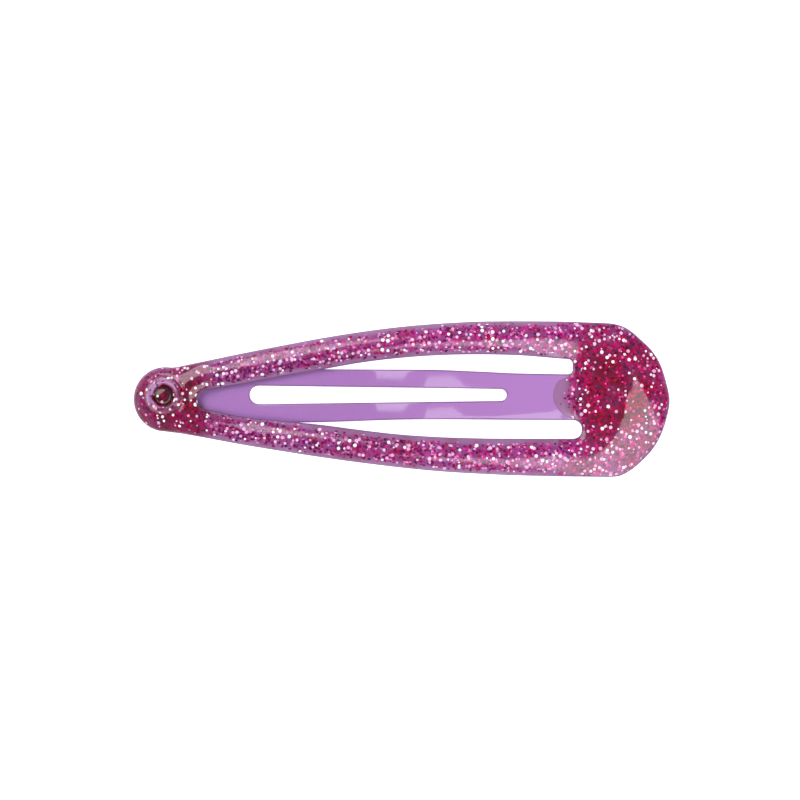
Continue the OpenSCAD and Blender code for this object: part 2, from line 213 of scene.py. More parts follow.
# Unit normals to the left of a line's own way, which is where the material lies.
def leftNormals(points, closed, ends=None):
    if closed:
        way = np.roll(points, -1, axis=0) - np.roll(points, 1, axis=0)
    else:
        way = np.gradient(points, axis=0)
    normals = np.stack([-way[:, 1], way[:, 0]], axis=1)
    normals /= np.linalg.norm(normals, axis=1)[:, None]
    if ends is not None:
        normals[0], normals[-1] = ends
    return normals


def distanceTo(points, line, closed):
    a = line if closed else line[:-1]
    b = np.roll(line, -1, axis=0) if closed else line[1:]
    way = b - a
    square = np.maximum((way**2).sum(axis=1), 1e-12)
    out = np.empty(len(points))
    batch = 1500  # keeps the arrays small
    for start in range(0, len(points), batch):
        part = points[start : start + batch, None, :] - a[None]
        t = np.clip((part * way).sum(axis=2) / square, 0, 1)
        apart = part - t[..., None] * way
        out[start : start + batch] = np.sqrt((apart**2).sum(axis=2)).min(axis=1)
    return out


def insideLoops(points, loops):
    inside = np.zeros(len(points), bool)
    batch = 3000
    for loop in loops:
        a, b = loop, np.roll(loop, -1, axis=0)
        rise = np.where(np.abs(b[:, 1] - a[:, 1]) < 1e-12, 1e-12, b[:, 1] - a[:, 1])
        for start in range(0, len(points), batch):
            x, y = points[start : start + batch, :1], points[start : start + batch, 1:]
            reached = x < (b[:, 0] - a[:, 0]) * (y - a[:, 1]) / rise + a[:, 0]
            crosses = ((a[:, 1] > y) != (b[:, 1] > y)) & reached
            inside[start : start + batch] ^= crosses.sum(axis=1) % 2 == 1
    return inside


# Triangles that fill a plan between closed loops, from an even grid of points and extra ones.
def fillPlan(loops, spacing, extra=None, clear=None):
    low, high = loops[0].min(axis=0), loops[0].max(axis=0)
    rows = []
    for k, y in enumerate(np.arange(low[1], high[1], spacing * 0.866)):  # rows of even triangles
        x = np.arange(low[0] + (k % 2) * spacing / 2, high[0], spacing)
        rows.append(np.stack([x, np.full_like(x, y)], axis=1))
    grid = np.vstack(rows)
    grid = grid[insideLoops(grid, loops)]
    if clear is not None:
        grid = grid[clear(grid)]
    near = np.min([distanceTo(grid, loop, True) for loop in loops], axis=0)
    grid = grid[near > 0.6 * spacing]
    if extra is not None:
        grid = np.vstack([grid, extra[insideLoops(extra, loops)]])
    points, edges = [], []
    for loop in loops:
        first = len(points)
        points += [Vector(p) for p in loop]
        edges += [(first + i, first + (i + 1) % len(loop)) for i in range(len(loop))]
    points += [Vector(p) for p in grid]
    found, _, faces, _, _, _ = delaunay_2d_cdt(points, edges, [], 0, 1e-5)
    found = np.array([tuple(p) for p in found])
    faces = np.array([f for f in faces if len(f) == 3])
    faces = faces[insideLoops(found[faces].mean(axis=1), loops)]
    a, b, c = found[faces[:, 0]], found[faces[:, 1]], found[faces[:, 2]]
    ab, ac = b - a, c - a
    turned = ab[:, 0] * ac[:, 1] - ab[:, 1] * ac[:, 0] < 0
    faces[turned] = faces[turned][:, ::-1]
    return found, faces


# A smooth mesh from points in millimetres. It keeps its rest points, which the patterns read.
def makeMesh(name, points, faces, material, attributes=None):
    mesh = bpy.data.meshes.new(name)
    points = np.asarray(points, float)
    mesh.from_pydata([tuple(p) for p in points * mm], [], [tuple(int(i) for i in f) for f in faces])
    rest = mesh.attributes.new("restPoint", "FLOAT_VECTOR", "POINT")
    rest.data.foreach_set("vector", points.astype(np.float32).ravel())
    for key, values in (attributes or {}).items():
        kept = mesh.attributes.new(key, "FLOAT", "POINT")
        kept.data.foreach_set("value", np.asarray(values, np.float32))
    mesh.polygons.foreach_set("use_smooth", [True] * len(mesh.polygons))
    mesh.materials.append(material)
    mesh.update()
    piece = bpy.data.objects.new(name, mesh)
    bpy.context.scene.collection.objects.link(piece)
    return piece


# Joins points that lie on each other and drops the faces that this leaves without an area.
def weld(points, faces, close=2e-4):
    keys = np.round(np.asarray(points) / close).astype(np.int64)
    _, first, back = np.unique(keys, axis=0, return_index=True, return_inverse=True)
    back = back.ravel()
    out = []
    for face in faces:
        ring = []
        for i in face:
            if not ring or ring[-1] != back[i]:
                ring.append(back[i])
        if ring[0] == ring[-1]:
            ring.pop()
        if len(set(ring)) == len(ring) >= 3:
            out.append(ring)
    return np.asarray(points)[first], out, first


# Points along a seam, corners kept, its two ends left out.
def seamPoints(corners, spacing):
    out = []
    for a, b in zip(corners[:-1], corners[1:]):
        count = max(1, int(np.linalg.norm(b - a) / spacing))
        out += [a + (b - a) * i / count for i in range(count)]
    return np.array(out[1:])


# A stamped sheet with rounded edges. Each run is (points, closed, end normals). The first
# run's two ends are joined over the seam's corner, where the next piece of the sheet meets it.
def sheetPiece(name, runs, seamCorner, underside, material, spacing=0.9):
    r, t = clip["edgeRound"], clip["sheet"]
    inner = r + 0.06  # one narrow band past the rounding keeps it crisp
    turns = np.radians([0, 30, 60, 90])
    low = [(inner, 0)] + [(r * (1 - math.sin(a)), r * (1 - math.cos(a))) for a in turns]
    levels = low + [(e, t - z) for e, z in reversed(low)]
    points, faces, loops, edges = [], [], [], []
    for line, closed, ends in runs:
        normals = leftNormals(line, closed, ends)
        n = len(line)
        first = sum(len(p) for p in points)
        for e, z in levels:
            flat = line + normals * e
            points.append(np.column_stack([flat, underside(flat[:, 0], flat[:, 1]) + z]))
            edges.append(np.full(n, 1.0 if e < r else 0.0))
        for i in range(len(levels) - 1):
            for j in range(n if closed else n - 1):
                a, b = first + i * n + j, first + i * n + (j + 1) % n
                faces.append((a, b, b + n, a + n))
        loops.append(line + normals * inner)
    seam = np.vstack([loops[0][-1:], seamCorner[None], loops[0][:1]])
    loops[0] = np.vstack([loops[0], seamPoints(seam, spacing)])
    flat, triangles = fillPlan(loops, spacing)
    z = underside(flat[:, 0], flat[:, 1])
    count = sum(len(p) for p in points)
    points += [np.column_stack([flat, z]), np.column_stack([flat, z + t])]
    edges.append(np.zeros(2 * len(flat)))
    faces += [tuple(f[::-1] + count) for f in triangles]
    faces += [tuple(f + count + len(flat)) for f in triangles]
    points, faces, kept = weld(np.vstack(points), faces)
    return makeMesh(name, points, faces, material, {"edgeShare": np.concatenate(edges)[kept]})


# Colours are picked as sRGB and made linear here.
def colour(code):
    parts = [int(code[i : i + 2], 16) / 255 for i in (1, 3, 5)]
    linear = [p / 12.92 if p <= 0.04045 else ((p + 0.055) / 1.055) ** 2.4 for p in parts]
    return (*linear, 1.0)


# Adds a shader node. Its settings come first, since they decide which sockets are in use.
# An input is a number, a colour code, a socket, or a node whose first output in use is linked.
# Stops are the places and colours of a colour ramp, each held up to the next.
def addNode(tree, kind, inputs=None, stops=None, **settings):
    node = tree.nodes.new("ShaderNode" + kind)
    for key, value in settings.items():
        setattr(node, key, value)
    for key, value in (inputs or {}).items():
        if isinstance(key, int):
            socket = node.inputs[key]
        else:
            socket = next(s for s in node.inputs if s.enabled and s.name == key)
        if isinstance(value, bpy.types.Node):
            value = next(s for s in value.outputs if s.enabled)
        if isinstance(value, bpy.types.NodeSocket):
            tree.links.new(value, socket)
        else:
            socket.default_value = colour(value) if isinstance(value, str) else value
    if stops:
        ramp = node.color_ramp
        ramp.interpolation = "CONSTANT"
        ramp.elements.remove(ramp.elements[-1])
        ramp.elements[0].position, ramp.elements[0].color = stops[0][0], colour(stops[0][1])
        for place, code in stops[1:]:
            ramp.elements.new(place).color = colour(code)
    return node


def newMaterial(name):
    material = bpy.data.materials.new(name)
    material.use_nodes = True
    material.node_tree.nodes.clear()
    return material


# Stoving enamel, sprayed on the spring steel and baked. To the eye it is an even lavender
# gloss. Its faint orange peel softens the ends of a reflection. Its colour is painted darker
# on the sheet's rounded edges as painted shade, and lighter toward the wide end as painted light.
lacquer = {
    "base": "#AA77BC",
    "shade": "#A272B4",
    # painted light: the lighter tone toward the wide end
    "paintedLightTone": "#AE7CC0",
    "eyelet": "#A771B8",  # the same enamel on the rolled eyelet
    # painted shade on the sheet's rounded edges
    "edge": "#5E4468",
    "edgeShade": 0.75,
    "paintedLightFrom": -4.0,  # painted light: the enamel is painted lighter toward the wide end
    "paintedLightTo": 11.0,
    "cloudSize": 2.857,  # width of a spray gun's overlap marks
    "peelSize": 0.4545,  # width of a dimple in orange peel
    "peelDeep": 0.05,
    "peelStrength": 0.06,
    "roughness": 0.14,
    "ior": 1.5,
}


def lacquerMaterial(name, base):
    material = newMaterial(name)
    tree = material.node_tree
    point = addNode(tree, "Attribute", attribute_name="restPoint").outputs["Vector"]
    edge = addNode(tree, "Attribute", attribute_name="edgeShare").outputs["Fac"]
    cloud = addNode(
        tree, "TexNoise", {"Vector": point, "Scale": 1 / lacquer["cloudSize"], "Detail": 3.0}
    )
    clouded = addNode(
        tree, "Mix", {"Factor": cloud, "A": base, "B": lacquer["shade"]}, data_type="RGBA"
    )
    # Painted light: the tone turns lighter toward the wide end.
    paintedLightShare = addNode(tree, "MapRange", {
        "Value": addNode(tree, "SeparateXYZ", {"Vector": point}),
        "From Min": lacquer["paintedLightFrom"],
        "From Max": lacquer["paintedLightTo"],
    })
    even = addNode(
        tree, "Mix", {"Factor": paintedLightShare, "A": clouded, "B": lacquer["paintedLightTone"]}, data_type="RGBA"
    )
    # Painted shade: the rounded edges are darkened.
    edgeShadeShare = addNode(tree, "Math", {0: edge, 1: lacquer["edgeShade"]}, operation="MULTIPLY")
    tone = addNode(tree, "Mix", {"Factor": edgeShadeShare, "A": even, "B": lacquer["edge"]}, data_type="RGBA")
    peel = addNode(
        tree, "TexNoise", {"Vector": point, "Scale": 1 / lacquer["peelSize"], "Detail": 2.0}
    )
    bump = addNode(tree, "Bump", {
        "Height": peel,
        "Strength": lacquer["peelStrength"],
        "Distance": lacquer["peelDeep"] * mm,
    })
    shader = addNode(tree, "BsdfPrincipled", {
        "Base Color": tone,
        "Roughness": lacquer["roughness"],
        "IOR": lacquer["ior"],
        "Normal": bump,
    })
    addNode(tree, "OutputMaterial", {"Surface": shader})
    return material


# Clear epoxy resin, poured by hand and full of cut polyester glitter. To the eye it is a
# clear gloss skin with wide soft reflections. Below it each flake has its own colour, lean
# and gloss, over resin that fine dust has tinted.
# Coarse craft glitter is 0.25 to 0.4 mm wide. A flake fills a share of its cell, so a cell of
# the sizes below, with its radius in cells, gives flakes of about 0.2 to 0.38 mm.
resin = {
    "foil": {"cell": 0.26, "radius": 0.62, "shift": (0.0, 0.0, 0.0)},
    "dark": {"cell": 0.36, "radius": 0.36, "shift": (3.1, 7.7, 1.9)},
    "glintFlakes": {"cell": 0.51, "radius": 0.29, "shift": (9.3, 2.3, 5.1)},
    "flakeSize": (0.72, 1.2),  # smallest and largest share of the radius
    "lean": 0.55,
    "clumpSize": 1.25,  # flakes stick together in clumps about this wide
    "clumpy": 1.7,
    "patchSize": 2.6316,  # the two colours of glitter are stirred in this coarsely
    "patchy": 1.3,
    "aslant": (1.0, 0.8, 0.0),  # the way in which the next changes run along the clip
    "aslantOver": (-14.0, 7.0),
    "rim": "#996A98",  # thin resin over the enamel
    "rimOver": (0.3, 1.0),
    "body": "#8A3E80",
    # the enamel seen through thin resin on the eyelet's crest, with a painted highlight where it
    # faces the upper left
    "ring": "#AE7CB8",
    "ringTint": 0.8,
    "deep": "#6C0228",
    # painted shade in the eyelet's hole
    "pit": "#3C0308",
    "pinkFoil": [(0.0, "#A02676"), (0.18, "#C24C94"), (0.36, "#7C1054"), (0.50, "#BC66A4"),
                 (0.62, "#A4164E"), (0.76, "#661858"), (0.87, "#E490C4")],
    "redFoil": [(0.0, "#8E0432"), (0.22, "#B00E4A"), (0.42, "#5C001E"), (0.60, "#B81654"),
                (0.76, "#760226"), (0.94, "#D04C90")],
    "darkFoil": [(0.0, "#501446"), (0.45, "#5A0E30"), (0.8, "#481850")],
    # painted glints: flakes tinted white and pale pink, as if they caught the softboxes
    "glintFoil": [(0.0, "#F0C8E2"), (0.35, "#E8A8CE"), (0.6, "#FFFFFF"), (0.88, "#D8A8E0")],
    "foilLight": (0.78, 1.16),  # from the tip to the wide half: deeper foil looks duller
    "foilRich": 1.08,
    "foilAmount": (0.85, 0.3),  # in the open, in the pit
    "darkAmount": (0.62, 0.34),  # from the tip to the wide half
    "glintAmount": (1.15, 0.3),  # in the open, in the reddest part
    "bareOver": 0.6,  # two flakes of foil in five show their bare metal side
    "foilRough": (0.4, 0.7),
    "dustRough": 0.6,
    "waveSize": 2.2222,  # width of the slow waves that stirring leaves in the skin
    "waveDeep": 0.12,
    "calmOver": (0.3, 0.7),  # the skin is calm on the wide end, where it had room to level
    "skinWaves": (0.6, 0.1),  # on the legs, on the wide end
    "skinRough": (0.15, 0.04),
    "skinIor": 1.5,
}


def resinMaterial(name):
    material = newMaterial(name)
    tree = material.node_tree
    point = addNode(tree, "Attribute", attribute_name="restPoint").outputs["Vector"]
    share, red, paleAndHighlight, pitShade = [
        addNode(tree, "Attribute", attribute_name=key).outputs["Fac"]
        for key in ("glitterShare", "redShare", "paleAndHighlightShare", "pitShadeShare")
    ]
    aslant = addNode(tree, "VectorMath", {0: point, 1: resin["aslant"]}, operation="DOT_PRODUCT")
    along, filling, calm = [
        addNode(tree, "MapRange", {
            "Value": value, "From Min": resin[key][0], "From Max": resin[key][1],
        })
        for value, key in ((aslant, "aslantOver"), (share, "rimOver"), (red, "calmOver"))
    ]
    redCore = addNode(tree, "Math", {0: red, 1: 4.0}, operation="POWER")
    foilLight, darkFewer, foilFewer, glintFewer, skinWaves, skinRough = [
        addNode(
            tree, "Mix", {"Factor": factor, "A": resin[key][0], "B": resin[key][1]},
            data_type="FLOAT",
        )
        for factor, key in (
            (along, "foilLight"), (along, "darkAmount"), (pitShade, "foilAmount"),
            (redCore, "glintAmount"), (calm, "skinWaves"), (calm, "skinRough"),
        )
    ]
    clump, patch, wave = [
        addNode(tree, "TexNoise", {"Vector": point, "Scale": 1 / resin[key], "Detail": 2.0})
        for key in ("clumpSize", "patchSize", "waveSize")
    ]

    # A layer of flakes: their cells, each cell's three chance values, and where they show.
    def flakes(layer, amount):
        moved = addNode(tree, "VectorMath", {0: point, 1: layer["shift"]}, operation="ADD")
        cells = addNode(tree, "TexVoronoi", {"Vector": moved, "Scale": 1 / layer["cell"]})
        chance = addNode(tree, "SeparateColor", {"Color": cells.outputs["Color"]})
        smallest, largest = resin["flakeSize"]
        size = addNode(
            tree, "Mix", {"Factor": chance.outputs["Blue"], "A": smallest, "B": largest},
            data_type="FLOAT",
        )
        radius = addNode(tree, "Math", {0: size, 1: layer["radius"]}, operation="MULTIPLY")
        inside = addNode(tree, "Math", {0: cells, 1: radius}, operation="LESS_THAN")
        chosen = addNode(
            tree, "Math", {0: chance.outputs["Green"], 1: amount}, operation="LESS_THAN"
        )
        shown = addNode(tree, "Math", {0: chosen, 1: inside}, operation="MULTIPLY")
        return cells, chance, shown

    # Clumps of flakes, and patches of redder ones.
    overMean = addNode(tree, "Math", {0: clump, 1: 0.5}, operation="SUBTRACT")
    clumping = addNode(
        tree, "Math", {0: overMean, 1: resin["clumpy"], 2: 1.0}, operation="MULTIPLY_ADD"
    )
    amount = addNode(tree, "Math", {0: share, 1: clumping}, operation="MULTIPLY")
    overMean = addNode(tree, "Math", {0: patch, 1: 0.5}, operation="SUBTRACT")
    patched = addNode(
        tree, "Math", {0: overMean, 1: resin["patchy"], 2: red}, operation="MULTIPLY_ADD"
    )
    redder = addNode(tree, "Math", {0: patched, 1: 0.0}, operation="MAXIMUM")

    # The resin between the flakes, thin at its rim, pale over the eyelet with a painted highlight,
    # and painted dark in its hole as shade.
    under = addNode(
        tree, "Mix", {"Factor": filling, "A": resin["rim"], "B": resin["body"]}, data_type="RGBA"
    )
    ringed = addNode(tree, "Math", {0: paleAndHighlight, 1: resin["ringTint"]}, operation="MULTIPLY")
    for factor, tint in ((ringed, "ring"), (redder, "deep"), (pitShade, "pit")):
        under = addNode(
            tree, "Mix", {"Factor": factor, "A": under, "B": resin[tint]}, data_type="RGBA"
        )

    # The foil that fills the resin, then single dark flakes, and single flakes painted white and
    # pale pink as glints over it.
    foilAmount, darkAmount, glintAmount = [
        addNode(tree, "Math", {0: amount, 1: fewer}, operation="MULTIPLY")
        for fewer in (foilFewer, darkFewer, glintFewer)
    ]
    cells, chance, foilShown = flakes(resin["foil"], foilAmount)
    pinks, reds = [
        addNode(tree, "ValToRGB", {"Fac": chance.outputs["Red"]}, stops=resin[key])
        for key in ("pinkFoil", "redFoil")
    ]
    mixed = addNode(tree, "Mix", {"Factor": redder, "A": pinks, "B": reds}, data_type="RGBA")
    foil = addNode(tree, "HueSaturation", {
        "Color": mixed, "Value": foilLight, "Saturation": resin["foilRich"],
    })
    tone = addNode(tree, "Mix", {"Factor": foilShown, "A": under, "B": foil}, data_type="RGBA")
    _, darkChance, darkShown = flakes(resin["dark"], darkAmount)
    # Painted glints: single flakes tinted white and pale pink.
    glintCells, glintChance, glintShown = flakes(resin["glintFlakes"], glintAmount)
    for drawn, shown, key in (
        (darkChance, darkShown, "darkFoil"),
        (glintChance, glintShown, "glintFoil"),
    ):
        tint = addNode(tree, "ValToRGB", {"Fac": drawn.outputs["Red"]}, stops=resin[key])
        tone = addNode(tree, "Mix", {"Factor": shown, "A": tone, "B": tint}, data_type="RGBA")

    # Each flake leans its own way.
    single = addNode(tree, "Math", {0: darkShown, 1: glintShown}, operation="MAXIMUM")
    flake = addNode(tree, "Math", {0: foilShown, 1: single}, operation="MAXIMUM")
    lean = addNode(
        tree,
        "Mix",
        {"Factor": glintShown, "A": cells.outputs["Color"], "B": glintCells.outputs["Color"]},
        data_type="RGBA",
    )
    centred = addNode(tree, "VectorMath", {0: lean, 1: (0.5, 0.5, 0.5)}, operation="SUBTRACT")
    strength = addNode(tree, "Math", {0: flake, 1: resin["lean"]}, operation="MULTIPLY")
    leaning = addNode(tree, "VectorMath", {0: centred, "Scale": strength}, operation="SCALE")
    facing = addNode(tree, "NewGeometry").outputs["Normal"]
    tilted = addNode(tree, "VectorMath", {0: facing, 1: leaning}, operation="ADD")
    normal = addNode(tree, "VectorMath", {0: tilted}, operation="NORMALIZE")

    # Bare metal sides, where no single flake covers them, and how gloss each flake is.
    blue = chance.outputs["Blue"]
    bare = addNode(tree, "Math", {0: blue, 1: resin["bareOver"]}, operation="GREATER_THAN")
    bareFoil = addNode(tree, "Math", {0: foilShown, 1: bare}, operation="MULTIPLY")
    uncovered = addNode(tree, "Math", {0: 1.0, 1: single}, operation="SUBTRACT")
    metal = addNode(tree, "Math", {0: bareFoil, 1: uncovered}, operation="MULTIPLY")
    smooth, matt = resin["foilRough"]
    foilRough = addNode(
        tree, "Mix", {"Factor": blue, "A": smooth, "B": matt}, data_type="FLOAT"
    )
    rough = addNode(
        tree, "Mix", {"Factor": flake, "A": resin["dustRough"], "B": foilRough}, data_type="FLOAT"
    )
    skin = addNode(tree, "Bump", {
        "Height": wave, "Strength": skinWaves, "Distance": resin["waveDeep"] * mm,
    })
    shader = addNode(tree, "BsdfPrincipled", {
        "Base Color": tone,
        "Metallic": metal,
        "Roughness": rough,
        "Specular IOR Level": 0.1,
        "Normal": normal,
        "Coat Weight": 1.0,
        "Coat Roughness": skinRough,
        "Coat IOR": resin["skinIor"],
        "Coat Normal": skin,
    })
    addNode(tree, "OutputMaterial", {"Surface": shader})
    return material


paint = lacquerMaterial("glossLacquer", lacquer["base"])
eyeletPaint = lacquerMaterial("eyeletLacquer", lacquer["eyelet"])
glitterEpoxy = resinMaterial("glitterEpoxy")
print("materials made")

# The outline, made once and shared by the sheet and the resin.
edgeStep = 0.22
innerStep = 0.2
upperNeckX = discX + clip["upperNeck"][1] * clip["tipRadius"]
lowerNeckX = discX + clip["lowerNeck"][1] * clip["tipRadius"]
forkY = float(upperInner(forkX) + lowerInner(forkX)) / 2
forkRadius = float(upperInner(forkX) - lowerInner(forkX)) / 2
endCurve = curveThrough(
    [(roundX + a * clip["endRound"], b * clip["halfWidth"]) for a, b in endRows], 6
)
outerLoop = evenRun(
    np.vstack([
        edgeRun(lowerEdge, lowerNeckX, roundX - 0.5),
        endCurve,
        edgeRun(upperEdge, roundX - 0.5, upperNeckX),
        tipArc(clip["upperNeck"][0], clip["lowerNeck"][0], 60),
    ]),
    edgeStep,
    closed=True,
)

tongue = {
    "width": 4.6,
    "centre": 0.4,
    "endX": -20.23,
    "endTurn": 84,
    "slotLeft": -14.15,
    "slotRight": 9.75,
    "slotTip": 1.7,  # width of the slot at each end
    "slotRoot": 1.1,
    "crown": 0.15,  # faint doming of the bars beside the slot
    "crownOver": (-5.0, -3.0, 7.0, 9.5),  # x: begins, is full, is full, ends
    "roll": [(3.0, 0.12, 0.30), (8.0, 0.28, 0.29), (15.3, 0.9, 0.14)],  # x, reach, slope
    "rollOver": (3.0, 4.5, 14.6, 15.4),
    "spacing": 0.26,
}
# Place as in legRows; the upper and the lower edge as shares of half the tongue's width.
tongueRows = [
    (0.16, 0.98, 1.05),
    (0.30, 1.04, 1.12),
    (0.40, 1.04, 1.10),
    (0.56, 1.02, 1.00),
    (0.64, 1.01, 0.99),
    (0.73, 0.94, 1.00),
    (0.81, 0.87, 1.01),
    (1.00, 0.82, 1.02),
]
# The pressed kink that lowers the tongue under the legs: x, height over the arch.
kinkRows = [
    (-24.0, -0.62), (-2.6, -0.62), (-2.4, -0.60), (0.35, 0.13), (0.75, 0.21), (1.15, 0.26),
    (2.02, 0.29), (2.10, 0.28), (4.9, -0.30), (5.6, -0.40), (6.6, -0.44), (8.0, -0.38),
    (14.0, 0.0), (30.0, 0.0),
]


def tongueUpper(x):
    return tongue["centre"] + tongue["width"] / 2 * readRows(tongueRows, 1, placeOf(x))


def tongueLower(x):
    return tongue["centre"] - tongue["width"] / 2 * readRows(tongueRows, 2, placeOf(x))


# The rounded right end of the gap between a leg and the tongue, from the leg to the tongue.
def gapEnd(x, legEdge, tongueEdge, corner):
    turnX = x - corner
    yLeg, yTongue = float(legEdge(turnX)), float(tongueEdge(turnX))
    side = 1 if yLeg > yTongue else -1
    r = min(corner, abs(yLeg - yTongue) * 0.49)
    return np.vstack([
        arc(x - r, yLeg - side * r, r, r, side * 90, 0, 8),
        arc(x - r, yTongue + side * r, r, r, 0, -side * 90, 8),
    ])


upperGapEnd = gapEnd(clip["upperGap"], upperInner, tongueUpper, clip["upperCorner"])
lowerGapEnd = gapEnd(clip["lowerGap"], lowerInner, tongueLower, clip["lowerCorner"])[::-1]
upperInnerRun = edgeRun(upperInner, forkX + 0.2, clip["upperGap"] - clip["upperCorner"] - 0.2)
lowerInnerRun = edgeRun(lowerInner, clip["lowerGap"] - clip["lowerCorner"] - 0.2, forkX + 0.2)
seamUpper, seamLower = upperGapEnd[-1], lowerGapEnd[0]
seamMiddle = (seamUpper + seamLower) / 2

# The sheet's two halves meet on the flat wide end, from the tongue's root to the outermost point.
farEnd = int(np.argmax(outerLoop[:, 0]))
fromEnd = np.roll(outerLoop, -farEnd, axis=0)
upperNeckAt = int(np.argmax(fromEnd[:, 0] < upperNeckX))
lowerNeckAt = len(fromEnd) - 1 - int(np.argmax(fromEnd[::-1, 0] < lowerNeckX))
upperRun = np.vstack([
    fromEnd[:upperNeckAt],
    tipArc(clip["upperNeck"][0], 360 - clip["tabTurn"], 70),
    arc(forkX, forkY, forkRadius, forkRadius, 180, 180 - clip["forkTurn"], 10),
    upperInnerRun,
    upperGapEnd,
])
lowerRun = np.vstack([
    lowerGapEnd,
    lowerInnerRun,
    arc(forkX, forkY, forkRadius, forkRadius, 180 + clip["forkTurn"], 180, 10),
    tipArc(clip["tabTurn"], clip["lowerNeck"][0], 70),
    fromEnd[lowerNeckAt + 1 :],
    fromEnd[:1],
])
toLeft, toUpper, toLower = np.array([-1.0, 0.0]), np.array([0.0, 1.0]), np.array([0.0, -1.0])

eyelet = {
    "x": discX - 0.28,
    "y": 0.33,
    "hole": 0.75,  # radius
    "wall": 0.25,
    "flange": 1.55,
    "lip": 0.22,
    "play": 0.05,  # between the tube and the tabs' holes
}
rivetRadius = eyelet["hole"] + eyelet["wall"] + eyelet["play"]
rivetHole = arc(eyelet["x"], eyelet["y"], rivetRadius, rivetRadius, 360, 0, 40)[:-1]


def upperUnderside(x, y):
    return archZ(x) + (clip["sheet"] + clip["pieceGap"]) * stepShare(x)


def lowerUnderside(x, y):
    return archZ(x)


# The kink, the faint crown that stamping leaves on each bar beside the slot, and the rolled
# lower edge.
def tongueUnderside(x, y):
    rows, roll = np.array(kinkRows), np.array(tongue["roll"])
    kink = sum(np.interp(x + d, rows[:, 0], rows[:, 1]) for d in (-0.12, 0.0, 0.12)) / 3
    above = y > tongue["centre"]
    outer = np.where(above, tongueUpper(x) - tongue["centre"], tongue["centre"] - tongueLower(x))
    slotEdge = 0.7
    across = np.clip((np.abs(y - tongue["centre"]) - slotEdge) / (outer - slotEdge), 0, 1)
    left, leftFull, rightFull, right = tongue["crownOver"]
    crowned = smoothShare(left, leftFull, x) * smoothShare(right, rightFull, x)
    crown = tongue["crown"] * crowned * (across - 0.5) ** 2
    left, leftFull, rightFull, right = tongue["rollOver"]
    rolled = smoothShare(left, leftFull, x) * smoothShare(right, rightFull, x)
    reach = np.interp(x, roll[:, 0], roll[:, 1])
    slope = np.interp(x, roll[:, 0], roll[:, 2])
    drop = slope * rolled * np.maximum(reach - (y - tongueLower(x)), 0)
    return archZ(x) + kink - crown - drop


upperFrame = sheetPiece(
    "upperFrameSheet",
    [(evenRun(upperRun, edgeStep), False, (toLeft, toLower)), (rivetHole, True, None)],
    seamMiddle,
    upperUnderside,
    paint,
)
lowerFrame = sheetPiece(
    "lowerFrameSheet",
    [(evenRun(lowerRun, edgeStep), False, (toUpper, toLeft)), (rivetHole, True, None)],
    seamMiddle,
    lowerUnderside,
    paint,
)
print("frame sheet made")

tongueStart = clip["tipX"] + tongueRows[0][0] * (roundX - clip["tipX"])
startUpper, startLower = float(tongueUpper(tongueStart)), float(tongueLower(tongueStart))
tongueRun = np.vstack([
    edgeRun(tongueUpper, seamUpper[0], tongueStart),
    arc(
        tongueStart - 0.01,
        (startUpper + startLower) / 2,
        tongueStart - tongue["endX"],
        (startUpper - startLower) / 2,
        180 - tongue["endTurn"],
        180 + tongue["endTurn"],
        24,
    ),
    edgeRun(tongueLower, tongueStart, seamLower[0]),
])
tipRound, rootRound = tongue["slotTip"] / 2, tongue["slotRoot"] / 2
slotLoop = np.vstack([
    arc(tongue["slotLeft"] + tipRound, tongue["centre"], tipRound, tipRound, 90, 270, 16),
    arc(tongue["slotRight"] - rootRound, tongue["centre"], rootRound, rootRound, -90, 90, 16),
])
slotRun = evenRun(slotLoop, innerStep, closed=True)[::-1]
tongueBlade = sheetPiece(
    "tongueBlade",
    [(evenRun(tongueRun, edgeStep), False, (toLower, toUpper)), (slotRun, True, None)],
    seamMiddle,
    tongueUnderside,
    paint,
    tongue["spacing"],
)
print("tongue made")

